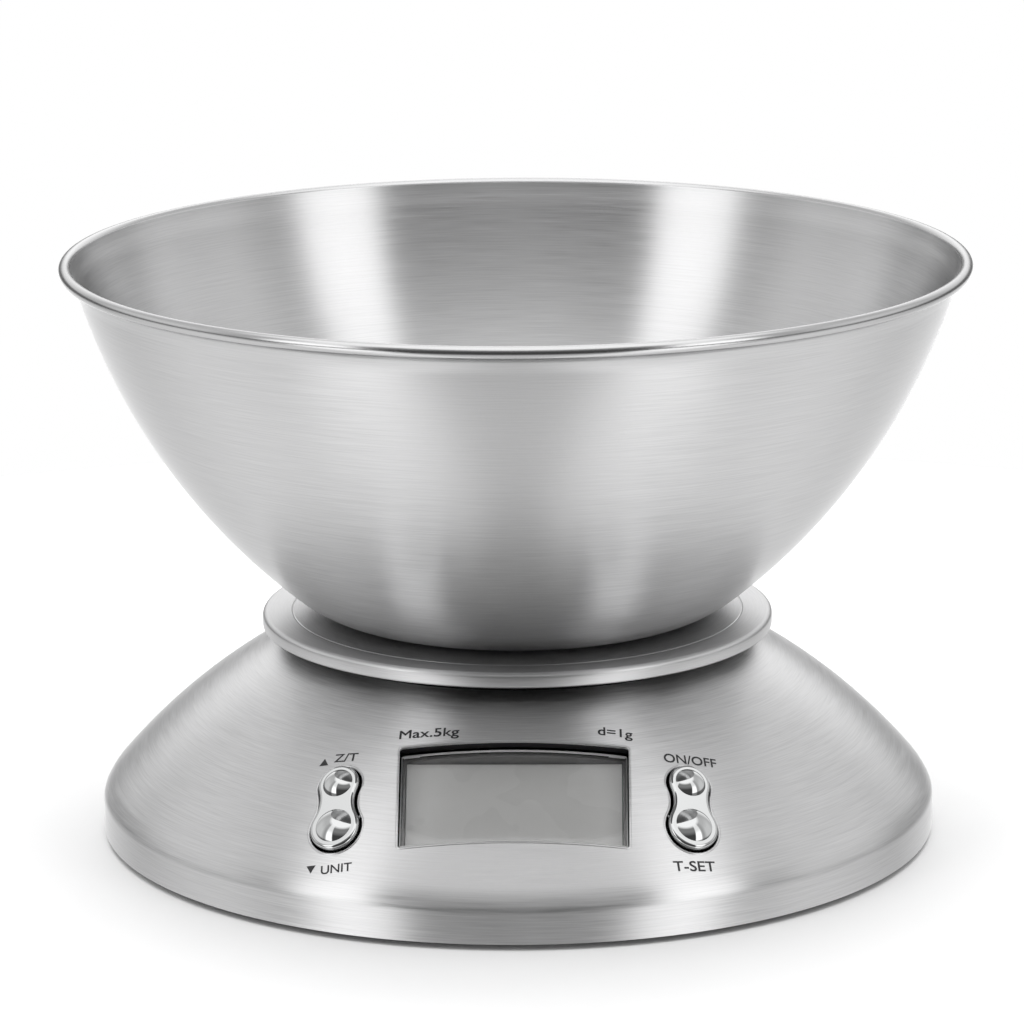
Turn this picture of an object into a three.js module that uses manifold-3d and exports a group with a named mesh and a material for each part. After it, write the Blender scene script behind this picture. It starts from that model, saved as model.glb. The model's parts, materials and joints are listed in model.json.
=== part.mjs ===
// A round electronic kitchen scale with its steel bowl.
// Millimetres, +Z up. The origin is on the table under the scale's axis, and the display faces -Y.

import * as THREE from 'three';
import { mergeVertices } from 'three/addons/utils/BufferGeometryUtils.js';
import Module from 'manifold-3d';

const wasm = await Module();
wasm.setup();

// ---- Driving dimensions -------------------------------------------------------------------

const GAP = 0.3; // air kept between two pieces that touch
const ROUND = 48; // sides of the large turned pieces that show
const HIDDEN_ROUND = 36; // sides of the large turned pieces inside

// Steel casing: a straight skirt, a tight and then a soft shoulder arc, and a gently domed cone.
const CASING_RADIUS = 100.3;
const CASING_LIFT = 1.5; // the feet hold the casing's edge this far off the table
const SKIRT_HEIGHT = 7.0;
const TIGHT_RADIUS = 4.0;
const TIGHT_TURN = THREE.MathUtils.degToRad(25.0);
const SOFT_RADIUS = 17.35;
const SHOULDER_TURN = THREE.MathUtils.degToRad(40.4);
const CONE_ARC_RADIUS = 141.8;
const OPENING_RADIUS = 55.0; // round hole in the top, under the platform
const STEEL = 0.7;
const LINER = { outside: 1.1, inside: 2.9, bottom: 5.2 }; // depths below the steel's outer face
const COLLAR = { outer: 54.6, inner: 52.2, top: 48.3 };

// Underside.
const COVER = { radius: 99.2, bottom: 2.7, top: 4.9 };
const FOOT = { radius: 6.5, ring: 84.0, angles: [45, 135, 225, 315] };
const COVER_SCREW = { ring: 84.0, angles: [-30, -150, 60, 120], head: 2.6, shank: 1.3 };

// Platform.
const PLATE = { radius: 61.27, top: 53.6, edge: 3.56, steel: 0.8, round: 1.2 };
const CARRIER = { radius: 60.0, skirtOuter: 49.0, skirtInner: 46.0, skirtBottom: 45.5 };

// Bowl, measured from its own flat bottom.
const BOWL = {
  base: PLATE.top + 0.1,
  flat: 38.25,
  cornerRadius: 24.8,
  cornerTurn: THREE.MathUtils.degToRad(39.0),
  wallRadius: 152.3,
  wallTop: 104.3,
  wall: 0.7,
  rim: 108.0,
  height: 85.85,
  bead: 1.5,
};

// Display: an opening in the front of the cone, a window bent like the cone and lying a little
// flatter than it, and a flat liquid crystal panel deeper down.
const DISPLAY = {
  width: 52.4, height: 27.2, corner: 0.8, y: -77.47, z: 29.0, tilt: THREE.MathUtils.degToRad(39.3),
};
const LENS = { gap: 0.3, depth: 0.4, thick: 1.2, lean: THREE.MathUtils.degToRad(5.0) };
const FRAME_WALL = 1.0;
const LCD = { top: -4.4, margin: 0.3, thick: 2.8 };
const BACKLIGHT_THICK = 2.6;
const BOARD = { width: 52.0, height: 28.0, thick: 1.6 };

// Rocker buttons: two round lobes joined by a waist, tilted with the cone.
const BUTTON = { x: 40.2, y: -76.1, upX: -1.35, upY: 17.51, upZ: 15.2, rise: 1.2, depth: 3.0 };
const LOBE = { upper: 4.9, upperAt: 6.2, lower: 5.9, lowerAt: -5.2, waist: 9.33 };
const DOME = { upper: 3.6, lower: 4.2, height: 1.3, sink: 0.5 };
const BUTTON_GAP = 0.5;
const PIN = { radius: 0.8, depth: -4.5, length: 13.4, clearance: 0.3 };
const SWITCH = { size: 6.0, top: -5.55, body: 3.0, stem: 1.7, stemHeight: 0.5, at: 5.4 };
const KEY_FRAME = { width: 15.0, height: 26.0, top: -1.3, bottom: -9.0 };
const KEY_BOARD = { width: 14.0, height: 25.0, thick: 1.2, drop: 0.35 };

// Load cell: an aluminium beam along X, held at its left end, carrying the platform at its right.
const CELL = {
  length: 75.0, side: 12.7, bottom: 18.0,
  boltAt: [26.0, 34.0], bolt: 1.9, boltHead: 3.6, headHeight: 1.8,
};
const POST = { from: 22.0, to: 38.0, halfDepth: 7.0 };

// Battery bay, two AA cells side by side, and its door.
const BAY = { halfWidth: 29.5, front: 27.5, back: 61.1, roof: 21.3, wall: 1.7 };
const CELL_AA = { radius: 7.25, length: 50.5, z: 13.2, y: [36.2, 51.2] };
const DOOR = { thick: 2.0, tabs: [-17, 17], tabWidth: 6.0 };

// ---- Materials ----------------------------------------------------------------------------

function finish(color, roughness, metalness) {
  return () => new THREE.MeshStandardMaterial({ color, roughness, metalness });
}
const brushedSteel = finish(0xc9cacb, 0.32, 1.0);
const polishedSteel = finish(0xd8d9da, 0.15, 1.0);
const chrome = finish(0xe6e8ea, 0.05, 1.0);
const blackPlastic = finish(0x141415, 0.5, 0.0);
const greyLcd = finish(0x8f938e, 0.25, 0.0);
const clearPlastic = finish(0xb9c0c2, 0.08, 0.0);
const whitePlastic = finish(0xe8e8e4, 0.4, 0.0);
const rubber = finish(0x1c1c1d, 0.9, 0.0);
const aluminium = finish(0xb5b8bb, 0.4, 1.0);
const zincSteel = finish(0xa9acae, 0.35, 1.0);
const circuitBoard = finish(0x1f5c37, 0.55, 0.0);
const epoxy = finish(0x101011, 0.35, 0.0);
const batteryWrap = finish(0x2b2d31, 0.35, 0.2);
const redWire = finish(0xa02020, 0.5, 0.0);
const greyWire = finish(0x55585b, 0.5, 0.0);

// ---- Geometry helpers ---------------------------------------------------------------------

// Joins equal corners and drops the triangles that collapse, so the skin is closed.
function weld(geometry) {
  const bare = geometry.clone();
  bare.deleteAttribute('normal');
  bare.deleteAttribute('uv');
  const merged = mergeVertices(bare, 1e-4);
  const corners = merged.index.array;
  const kept = [];
  for (let i = 0; i < corners.length; i += 3) {
    const [a, b, c] = [corners[i], corners[i + 1], corners[i + 2]];
    if (a !== b && b !== c && c !== a) kept.push(a, b, c);
  }
  merged.setIndex(kept);
  return merged;
}

function solidOf(geometry, matrix = new THREE.Matrix4()) {
  const welded = weld(geometry.clone().applyMatrix4(matrix));
  return new wasm.Manifold(new wasm.Mesh({
    numProp: 3,
    vertProperties: new Float32Array(welded.attributes.position.array),
    triVerts: new Uint32Array(welded.index.array),
  }));
}

function geometryOf(solid) {
  const mesh = solid.getMesh();
  const geometry = new THREE.BufferGeometry();
  geometry.setAttribute('position', new THREE.BufferAttribute(mesh.vertProperties, 3));
  geometry.setIndex(new THREE.BufferAttribute(mesh.triVerts, 1));
  return geometry;
}

function unite(solids) {
  return solids.reduce((sum, next) => sum.add(next));
}

// A turned piece from a closed outline of [radius, height] pairs, turned about +Z.
function turned(outline, sides = ROUND) {
  let area = 0;
  for (let i = 0; i < outline.length; i++) {
    const [r0, z0] = outline[i];
    const [r1, z1] = outline[(i + 1) % outline.length];
    area += r0 * z1 - r1 * z0;
  }
  const path = area > 0 ? outline : [...outline].reverse();
  const points = path.map(([r, z]) => new THREE.Vector2(r, z));
  points.push(points[0].clone());
  return weld(new THREE.LatheGeometry(points, sides).rotateX(Math.PI / 2));
}

// Points of an arc round (cr, cz), from one angle to another, in `steps` steps.
function arc(cr, cz, radius, from, to, steps) {
  const points = [];
  for (let i = 0; i <= steps; i++) {
    const a = THREE.MathUtils.lerp(from, to, i / steps);
    points.push([cr + radius * Math.cos(a), cz + radius * Math.sin(a)]);
  }
  return points;
}

function box(x0, x1, y0, y1, z0, z1) {
  const geometry = new THREE.BoxGeometry(x1 - x0, y1 - y0, z1 - z0);
  return geometry.translate((x0 + x1) / 2, (y0 + y1) / 2, (z0 + z1) / 2);
}

// A round bar along +Z between two heights.
function bar(radius, z0, z1, sides = 16, x = 0, y = 0) {
  const geometry = new THREE.CylinderGeometry(radius, radius, z1 - z0, sides);
  return geometry.rotateX(Math.PI / 2).translate(x, y, (z0 + z1) / 2);
}

function extruded(shape, z0, z1, arcSteps = 3) {
  const geometry = new THREE.ExtrudeGeometry(shape, {
    depth: z1 - z0, bevelEnabled: false, curveSegments: arcSteps,
  });
  return geometry.translate(0, 0, z0);
}

function roundedRectangle(width, height, radius) {
  const [x, y] = [width / 2 - radius, height / 2 - radius];
  const shape = new THREE.Shape();
  shape.absarc(x, y, radius, 0, Math.PI / 2);
  shape.absarc(-x, y, radius, Math.PI / 2, Math.PI);
  shape.absarc(-x, -y, radius, Math.PI, Math.PI * 1.5);
  shape.absarc(x, -y, radius, Math.PI * 1.5, Math.PI * 2);
  shape.closePath();
  return shape;
}

function polar(radius, degrees) {
  const a = THREE.MathUtils.degToRad(degrees);
  return [radius * Math.cos(a), radius * Math.sin(a)];
}

// ---- The casing's outline -----------------------------------------------------------------

// The centre of an arc that carries smoothly on from another one at a given turn.
function nextCentre([cr, cz], radius, nextRadius, turn) {
  return [cr + (radius - nextRadius) * Math.cos(turn), cz + (radius - nextRadius) * Math.sin(turn)];
}
const TIGHT_CENTRE = [CASING_RADIUS - TIGHT_RADIUS, CASING_LIFT + SKIRT_HEIGHT];
const SOFT_CENTRE = nextCentre(TIGHT_CENTRE, TIGHT_RADIUS, SOFT_RADIUS, TIGHT_TURN);
const CONE_CENTRE = nextCentre(SOFT_CENTRE, SOFT_RADIUS, CONE_ARC_RADIUS, SHOULDER_TURN);

// The casing's outline, moved in by `depth`, from height `bottom` up to radius `top`.
function casingLine(depth, bottom, top) {
  const coneRadius = CONE_ARC_RADIUS - depth;
  const end = Math.acos((top - CONE_CENTRE[0]) / coneRadius);
  return [
    [CASING_RADIUS - depth, bottom],
    ...arc(...TIGHT_CENTRE, TIGHT_RADIUS - depth, 0, TIGHT_TURN, 2),
    ...arc(...SOFT_CENTRE, SOFT_RADIUS - depth, TIGHT_TURN, SHOULDER_TURN, 1).slice(1),
    ...arc(...CONE_CENTRE, coneRadius, SHOULDER_TURN, end, 5).slice(1),
  ];
}

// Everything under the casing's outline moved in by `depth`, as one plug for cutting.
function insideCasing(depth, matrix) {
  const line = casingLine(depth, -5, COLLAR.inner);
  const [, topHeight] = line[line.length - 1];
  return solidOf(turned([[0, -5], ...line, [0, topHeight]]), matrix);
}

// Height and outward normal of the casing's outer face at a plan position on the cone.
function casingPoint(x, y) {
  const radius = Math.hypot(x, y);
  const angle = Math.acos((radius - CONE_CENTRE[0]) / CONE_ARC_RADIUS);
  const level = Math.cos(angle) / radius;
  return {
    point: new THREE.Vector3(x, y, CONE_CENTRE[1] + CONE_ARC_RADIUS * Math.sin(angle)),
    normal: new THREE.Vector3(x * level, y * level, Math.sin(angle)),
  };
}

// ---- Local frames on the cone -------------------------------------------------------------

// Local X runs across, Y up the slope and Z out of the surface.
function frameOn(point, normal, up) {
  const n = normal.clone().normalize();
  const v = up.clone().addScaledVector(n, -up.dot(n)).normalize();
  const u = v.clone().cross(n);
  return new THREE.Matrix4().makeBasis(u, v, n).setPosition(point);
}

const displayFrame = frameOn(
  new THREE.Vector3(0, DISPLAY.y, DISPLAY.z),
  new THREE.Vector3(0, -Math.sin(DISPLAY.tilt), Math.cos(DISPLAY.tilt)),
  new THREE.Vector3(0, Math.cos(DISPLAY.tilt), Math.sin(DISPLAY.tilt)),
);

// side is -1 on the left and +1 on the right.
function buttonFrame(side) {
  const { point, normal } = casingPoint(side * BUTTON.x, BUTTON.y);
  return frameOn(point, normal, new THREE.Vector3(side * BUTTON.upX, BUTTON.upY, BUTTON.upZ));
}

function groupAt(matrix) {
  const group = new THREE.Group();
  group.applyMatrix4(matrix);
  return group;
}

const scale = new THREE.Group();
const displayGroup = groupAt(displayFrame);
scale.add(displayGroup);

function add(name, geometry, material, parent = scale) {
  const mesh = new THREE.Mesh(geometry, material());
  mesh.name = name;
  parent.add(mesh);
  return mesh;
}

// ---- Button outline -----------------------------------------------------------------------

// Two lobes joined by hollow arcs, grown outwards by `grow`.
function buttonOutline(grow = 0) {
  const upper = LOBE.upper + grow;
  const lower = LOBE.lower + grow;
  const hollow = LOBE.waist - grow;
  const apart = LOBE.upperAt - LOBE.lowerAt;
  const fromLower = ((lower + hollow) ** 2 - (upper + hollow) ** 2 + apart ** 2) / (2 * apart);
  const x = Math.sqrt((lower + hollow) ** 2 - fromLower ** 2);
  const y = LOBE.lowerAt + fromLower;
  const toUpper = Math.atan2(LOBE.upperAt - y, x);
  const toLower = Math.atan2(LOBE.lowerAt - y, x);
  const shape = new THREE.Shape();
  shape.absarc(0, LOBE.upperAt, upper, -toUpper, Math.PI + toUpper);
  shape.absarc(-x, y, hollow, toUpper, toLower, true);
  shape.absarc(0, LOBE.lowerAt, lower, Math.PI + toLower, Math.PI * 2 - toLower);
  shape.absarc(x, y, hollow, Math.PI - toLower, Math.PI - toUpper, true);
  shape.closePath();
  return shape;
}

// ---- Casing, liner and cover --------------------------------------------------------------

function buttonCutters(grow, from, to) {
  return [-1, 1].map((side) => solidOf(extruded(buttonOutline(grow), from, to), buttonFrame(side)));
}

function displayCutter(grow) {
  const shape = roundedRectangle(DISPLAY.width + grow * 2, DISPLAY.height + grow * 2,
    DISPLAY.corner);
  return solidOf(extruded(shape, -14, 8, 2), displayFrame);
}

function makeOuterShell() {
  const outside = casingLine(0, CASING_LIFT, OPENING_RADIUS);
  const inside = casingLine(STEEL, CASING_LIFT, OPENING_RADIUS);
  const skin = solidOf(turned([...outside, ...inside.reverse()]));
  const holes = unite([displayCutter(0), ...buttonCutters(BUTTON_GAP, -6, 5)]);
  return geometryOf(skin.subtract(holes));
}

function makeInnerHousing() {
  const outside = casingLine(LINER.outside, LINER.bottom, COLLAR.outer);
  const inside = casingLine(LINER.inside, LINER.bottom, COLLAR.inner);
  const collar = [[COLLAR.outer, COLLAR.top], [COLLAR.inner, COLLAR.top]];
  const liner = solidOf(turned([...outside, ...collar, ...inside.reverse()], HIDDEN_ROUND));
  const bossTop = 40;
  const bosses = COVER_SCREW.angles.map((angle) => {
    const [x, y] = polar(COVER_SCREW.ring, angle);
    return solidOf(bar(3.4, LINER.bottom, bossTop, 10, x, y));
  });
  const pilots = COVER_SCREW.angles.map((angle) => {
    const [x, y] = polar(COVER_SCREW.ring, angle);
    return solidOf(bar(COVER_SCREW.shank + GAP, LINER.bottom - 1, LINER.bottom + 11, 12, x, y));
  });
  const body = liner.add(unite(bosses).intersect(insideCasing(LINER.outside + 0.9)));
  const keyHole = roundedRectangle(KEY_FRAME.width + 1, KEY_FRAME.height + 1, 2);
  const keyHoles = [-1, 1].map((side) => solidOf(extruded(keyHole, -12, 5, 2), buttonFrame(side)));
  return geometryOf(body.subtract(unite([...pilots, ...keyHoles, displayCutter(0.4)])));
}

function makeBottomCover() {
  const plate = solidOf(turned([
    [0, COVER.bottom], [COVER.radius, COVER.bottom], [COVER.radius, COVER.top], [0, COVER.top],
  ]));
  const { halfWidth, front, back, roof, wall } = BAY;
  const shell = solidOf(box(-halfWidth - wall, halfWidth + wall, front - wall, back + wall,
    COVER.bottom + 1, roof + wall));
  const room = solidOf(box(-halfWidth, halfWidth, front, back, COVER.bottom - 1, roof));
  const pad = solidOf(box(-POST.to - 1, -POST.from + 1, -8, 8, COVER.bottom + 1, POST_BOTTOM - GAP));
  const tabSlots = DOOR.tabs.map((x) => {
    const half = DOOR.tabWidth / 2 + 0.4;
    return solidOf(box(x - half, x + half, front - 5, front + 1, COVER.top, COVER.top + 3.3));
  });
  const leadSlots = CELL_AA.y.map((y) => solidOf(
    box(-halfWidth - wall - 1, -halfWidth + 1, y - 2.4, y + 2.4, CELL_AA.z - 1.1, CELL_AA.z + 1.1),
  ));
  const screwHoles = COVER_SCREW.angles.flatMap((angle) => {
    const [x, y] = polar(COVER_SCREW.ring, angle);
    return [
      solidOf(bar(COVER_SCREW.shank + GAP, 0, 8, 12, x, y)),
      solidOf(bar(COVER_SCREW.head + GAP, 0, COVER.bottom + 1.2, 16, x, y)),
    ];
  });
  const cellHoles = CELL.boltAt.flatMap((x) => [
    solidOf(bar(CELL.bolt + GAP, 0, 12, 12, -x, 0)),
    solidOf(bar(CELL.boltHead + GAP, 0, CELL_HEAD_TOP + GAP, 16, -x, 0)),
  ]);
  const holes = unite([room, ...tabSlots, ...leadSlots, ...screwHoles, ...cellHoles]);
  return geometryOf(plate.add(shell).add(pad).subtract(holes));
}

// ---- Platform and bowl --------------------------------------------------------------------

function makePlatformPlate() {
  const { radius, top, edge, steel, round } = PLATE;
  return turned([
    [0, top],
    ...arc(radius - round, top - round, round, Math.PI / 2, 0, 3),
    [radius, top - edge + 0.5],
    [radius - 0.35, top - edge],
    [CARRIER.radius + 0.4, top - edge],
    [CARRIER.radius + 0.4, top - steel],
    [0, top - steel],
  ]);
}

const CARRIER_TOP = PLATE.top - PLATE.steel - GAP;
const CARRIER_BOTTOM = PLATE.top - PLATE.edge + 0.2;
const PLATFORM_BOLT_HEAD = CARRIER_TOP - 2.0; // underside of the heads, sunk in the carrier

function makePlatformCarrier() {
  const disc = solidOf(turned([
    [0, CARRIER_BOTTOM - 1],
    [CARRIER.skirtInner, CARRIER_BOTTOM - 1],
    [CARRIER.skirtInner, CARRIER.skirtBottom],
    [CARRIER.skirtOuter, CARRIER.skirtBottom],
    [CARRIER.skirtOuter, CARRIER_BOTTOM],
    [CARRIER.radius, CARRIER_BOTTOM],
    [CARRIER.radius, CARRIER_TOP],
    [0, CARRIER_TOP],
  ], HIDDEN_ROUND));
  const holes = CELL.boltAt.flatMap((x) => [
    solidOf(bar(CELL.bolt + GAP, CARRIER_BOTTOM - 5, PLATE.top, 12, x, 0)),
    solidOf(bar(CELL.boltHead + GAP, PLATFORM_BOLT_HEAD - GAP, PLATE.top, 16, x, 0)),
  ]);
  return geometryOf(disc.subtract(unite(holes)));
}

// The bowl's wall line, moved in by `depth`, from the bottom's edge to the foot of the rim.
function bowlLine(depth) {
  const { base, flat, cornerRadius, cornerTurn, wallRadius, wallTop } = BOWL;
  const centre = [flat, base + cornerRadius];
  const shift = wallRadius - cornerRadius;
  const wallCentre = [
    centre[0] - shift * Math.sin(cornerTurn), centre[1] + shift * Math.cos(cornerTurn),
  ];
  const start = cornerTurn - Math.PI / 2;
  const end = -Math.acos((wallTop - wallCentre[0]) / wallRadius);
  return [
    ...arc(...centre, cornerRadius - depth, -Math.PI / 2, start, 3),
    ...arc(...wallCentre, wallRadius - depth, start, end, 6).slice(1),
  ];
}

function makeBowl() {
  const { base, wall, rim, height, bead } = BOWL;
  const outside = bowlLine(0);
  const inside = bowlLine(wall);
  const beadCentre = [rim - bead, base + height - bead];
  const roll = arc(...beadCentre, bead, -Math.PI / 2, Math.PI, 6);
  return turned([[0, base], ...outside, ...roll, ...inside.reverse(), [0, base + wall]]);
}

// ---- Load cell ----------------------------------------------------------------------------

const CELL_TOP = CELL.bottom + CELL.side;
const POST_BOTTOM = COVER.top + 2.9;
const CELL_HEAD_TOP = 5.0; // top of the screw heads sunk in the cover
const LOWER_BOLT_LENGTH = 23.0;
const UPPER_BOLT_LENGTH = 28.0;

function makeLoadCell() {
  const half = CELL.length / 2;
  const beam = solidOf(box(-half, half, -CELL.side / 2, CELL.side / 2, CELL.bottom, CELL_TOP));
  const middle = (CELL.bottom + CELL_TOP) / 2;
  // Two round holes joined by a slot make the thin places that bend.
  const gauge = [-7, 7].map((x) => solidOf(
    new THREE.CylinderGeometry(4.6, 4.6, 20, 16).translate(x, 0, middle),
  ));
  const slot = solidOf(box(-7, 7, -10, 10, middle - 1.5, middle + 1.5));
  const bolts = CELL.boltAt.flatMap((x) => [
    solidOf(bar(CELL.bolt + GAP, CELL.bottom - 1, CELL.bottom + 10, 12, -x, 0)),
    solidOf(bar(CELL.bolt + GAP, CELL_TOP - 10, CELL_TOP + 1, 12, x, 0)),
  ]);
  return geometryOf(beam.subtract(unite([...gauge, slot, ...bolts])));
}

function makePost(side, bottom, top) {
  const [x0, x1] = side < 0 ? [-POST.to, -POST.from] : [POST.from, POST.to];
  const block = solidOf(box(x0, x1, -POST.halfDepth, POST.halfDepth, bottom, top));
  const holes = CELL.boltAt.map((x) => solidOf(
    bar(CELL.bolt + GAP, bottom - 1, top + 1, 12, side * x, 0),
  ));
  return geometryOf(block.subtract(unite(holes)));
}

// ---- Fasteners ----------------------------------------------------------------------------

// A cross-head screw standing on its head: the head starts at z 0 and the shank runs up.
function makeScrew(headRadius, headHeight, shankRadius, length) {
  const body = solidOf(turned([
    [0, 0],
    [headRadius - 0.3, 0],
    [headRadius, 0.3],
    [headRadius, headHeight],
    [shankRadius, headHeight],
    [shankRadius, length - 1],
    [shankRadius - 0.6, length],
    [0, length],
  ], 10));
  const arm = headRadius * 0.6;
  const cross = solidOf(box(-arm, arm, -0.4, 0.4, -1, 0.9)).add(
    solidOf(box(-0.4, 0.4, -arm, arm, -1, 0.9)),
  );
  return geometryOf(body.subtract(cross));
}

// ---- Display ------------------------------------------------------------------------------

function plateAt(width, height, top, thick) {
  return box(-width / 2, width / 2, -height / 2, height / 2, top - thick, top);
}

const WELL = {
  width: DISPLAY.width - (LENS.gap + FRAME_WALL) * 2,
  height: DISPLAY.height - (LENS.gap + FRAME_WALL) * 2,
};
const PANEL = { width: WELL.width - LCD.margin * 2, height: WELL.height - LCD.margin * 2 };
const BACKLIGHT_TOP = LCD.top - LCD.thick - GAP;
const BOARD_TOP = BACKLIGHT_TOP - BACKLIGHT_THICK - GAP;
const BOARD_BACK = BOARD_TOP - BOARD.thick;

// Everything under the window's outer face moved in by `depth`, in the display's own frame. The
// face is the casing's, leaned back about the opening's lower edge.
function underWindow(depth) {
  const hinge = new THREE.Matrix4().makeTranslation(0, -DISPLAY.height / 2, 0);
  const lean = hinge.clone()
    .multiply(new THREE.Matrix4().makeRotationX(-LENS.lean))
    .multiply(hinge.clone().invert())
    .multiply(displayFrame.clone().invert());
  return insideCasing(LENS.depth + depth, lean);
}

function windowOutline() {
  return roundedRectangle(DISPLAY.width - LENS.gap * 2, DISPLAY.height - LENS.gap * 2, 0.6);
}

function makeDisplayWindow() {
  const block = solidOf(extruded(windowOutline(), -10, 8, 2));
  return geometryOf(block.intersect(underWindow(0)).subtract(underWindow(LENS.thick)));
}

function makeDisplayFrame() {
  const wall = solidOf(extruded(windowOutline(), BACKLIGHT_TOP - BACKLIGHT_THICK, 6, 2));
  const well = solidOf(plateAt(WELL.width, WELL.height, 8, 30));
  return geometryOf(wall.subtract(well).intersect(underWindow(LENS.thick + GAP)));
}

// ---- Buttons ------------------------------------------------------------------------------

function makeButton() {
  const edge = 0.5;
  const plate = new THREE.ExtrudeGeometry(buttonOutline(-edge), {
    depth: BUTTON.rise + BUTTON.depth - edge * 2,
    bevelThickness: edge, bevelSize: edge, bevelSegments: 1, curveSegments: 3,
  }).translate(0, 0, -BUTTON.depth + edge);
  const domes = [[LOBE.upperAt, DOME.upper], [LOBE.lowerAt, DOME.lower]].map(([y, radius]) => {
    const { height, sink } = DOME;
    const sphere = (radius ** 2 + height ** 2) / (2 * height);
    const low = BUTTON.rise - sink;
    const from = Math.asin((sphere - height - sink) / sphere);
    const cap = turned([
      [0, low],
      ...arc(0, BUTTON.rise + height - sphere, sphere, from, Math.PI / 2, 3),
    ], 16);
    return solidOf(cap.translate(0, y, 0));
  });
  const lug = solidOf(box(-2.5, 2.5, -2.2, 2.2, -6.1, -BUTTON.depth + 0.5));
  const plungers = [-1, 1].map((end) => solidOf(
    bar(1.3, -5.2, -BUTTON.depth + 0.5, 12, 0, end * SWITCH.at),
  ));
  const bore = solidOf(pinBar(PIN.radius + PIN.clearance, 8));
  return geometryOf(unite([solidOf(plate), ...domes, lug, ...plungers]).subtract(bore));
}

// A bar along local X at the rocker's pin.
function pinBar(radius, length) {
  const geometry = new THREE.CylinderGeometry(radius, radius, length, 12);
  return geometry.rotateZ(Math.PI / 2).translate(0, 0, PIN.depth);
}

function makeKeyFrame(side) {
  const local = buttonFrame(side).invert();
  const outline = roundedRectangle(KEY_FRAME.width, KEY_FRAME.height, 2);
  const wall = solidOf(extruded(outline, KEY_FRAME.bottom, KEY_FRAME.top, 2));
  const well = solidOf(extruded(buttonOutline(0.7), -20, 5));
  const bore = solidOf(pinBar(PIN.radius + PIN.clearance, 20));
  return geometryOf(wall.subtract(well).subtract(bore).intersect(insideCasing(1.05, local)));
}

function makeKeySwitch() {
  const half = SWITCH.size / 2;
  const bodyTop = SWITCH.top - SWITCH.stemHeight;
  const body = solidOf(box(-half, half, -half, half, bodyTop - SWITCH.body, bodyTop));
  return geometryOf(body.add(solidOf(bar(SWITCH.stem, bodyTop - 0.5, SWITCH.top, 12))));
}

// ---- Batteries, contacts and door ---------------------------------------------------------

// An AA cell along X with its button end at +X when direction is +1.
function makeBattery(direction) {
  const { radius, length } = CELL_AA;
  const half = length / 2;
  const body = turned([
    [0, -half], [radius - 0.4, -half], [radius, -half + 0.4], [radius, half - 1.6],
    [radius - 0.4, half - 1.2], [2.75, half - 1.2], [2.75, half], [0, half],
  ], 20);
  return body.rotateY(direction * Math.PI / 2);
}

// A contact plate facing +X, with a coil spring's cone or a raised button, and a solder tab.
function makeContact(bumpRadius, bumpLength, tab) {
  const thick = 0.4;
  const plate = solidOf(box(-thick, 0, -6, 6, -5, 5));
  const cone = turned([
    [0, -0.2], [bumpRadius, -0.2], [bumpRadius * 0.6, bumpLength], [0, bumpLength],
  ], 12).rotateY(Math.PI / 2);
  const solids = [plate, solidOf(cone)];
  if (tab) solids.push(solidOf(box(-3.9, -thick + 0.1, -2, 2, -0.25, 0.25)));
  return geometryOf(unite(solids));
}

// One plate that joins the two cells at their far ends.
function makeBridge() {
  const [y0, y1] = CELL_AA.y;
  const plate = solidOf(box(0, 0.4, y0 - 5.5, y1 + 5.5, -5, 5));
  const spring = turned([[0, -0.2], [4, -0.2], [2.4, 0.75], [0, 0.75]], 12);
  const button = turned([[0, -0.2], [3, -0.2], [2.2, 0.75], [0, 0.75]], 12);
  const bumps = [spring.rotateY(-Math.PI / 2).translate(0, y1, 0),
    button.rotateY(-Math.PI / 2).translate(0, y0, 0)];
  return geometryOf(unite([plate, ...bumps.map((bump) => solidOf(bump))]));
}

function makeDoor() {
  const top = COVER.bottom + DOOR.thick;
  const [x, y0, y1] = [BAY.halfWidth - 0.4, BAY.front + 0.4, BAY.back - 0.4];
  const panel = solidOf(box(-x, x, y0, y1, COVER.bottom, top));
  const tabTop = COVER.top + 1.7;
  const tabs = DOOR.tabs.flatMap((centre) => {
    const half = DOOR.tabWidth / 2;
    return [
      solidOf(box(centre - half, centre + half, y0, y0 + 1.6, top - 0.5, tabTop)),
      solidOf(box(centre - half, centre + half, y0 - 3.3, y0 + 1, COVER.top + GAP, tabTop)),
    ];
  });
  const latch = solidOf(box(-5, 5, y1 - 3, y1 - 1.5, top - 0.5, top + 3.4));
  const grips = [0, 1, 2].map((row) => {
    const y = y1 - 5 - row * 2.4;
    return solidOf(box(-8, 8, y - 0.6, y + 0.6, COVER.bottom - 1, COVER.bottom + 0.6));
  });
  return geometryOf(unite([panel, ...tabs, latch]).subtract(unite(grips)));
}

// A round insulated lead along a smooth curve through the given points.
function makeLead(points, radius = 0.8, steps = 22) {
  const curve = new THREE.CatmullRomCurve3(points.map((p) => new THREE.Vector3(...p)), false,
    'centripetal');
  const section = new THREE.Shape();
  section.absarc(0, 0, radius, 0, Math.PI * 2);
  section.closePath();
  return weld(new THREE.ExtrudeGeometry(section, {
    extrudePath: curve, steps, curveSegments: 4, bevelEnabled: false,
  }));
}

// ---- Assembly: casing ---------------------------------------------------------------------

add('outer_shell', makeOuterShell(), brushedSteel);
add('inner_housing', makeInnerHousing(), blackPlastic);
add('bottom_cover', makeBottomCover(), blackPlastic);

FOOT.angles.forEach((angle, i) => {
  const [x, y] = polar(FOOT.ring, angle);
  const foot = add(`rubber_foot_${i + 1}`, turned([
    [0, 0], [FOOT.radius - 0.6, 0], [FOOT.radius, 0.6], [FOOT.radius, COVER.bottom - GAP],
    [0, COVER.bottom - GAP],
  ], 20), rubber);
  foot.position.set(x, y, 0);
});

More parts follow.
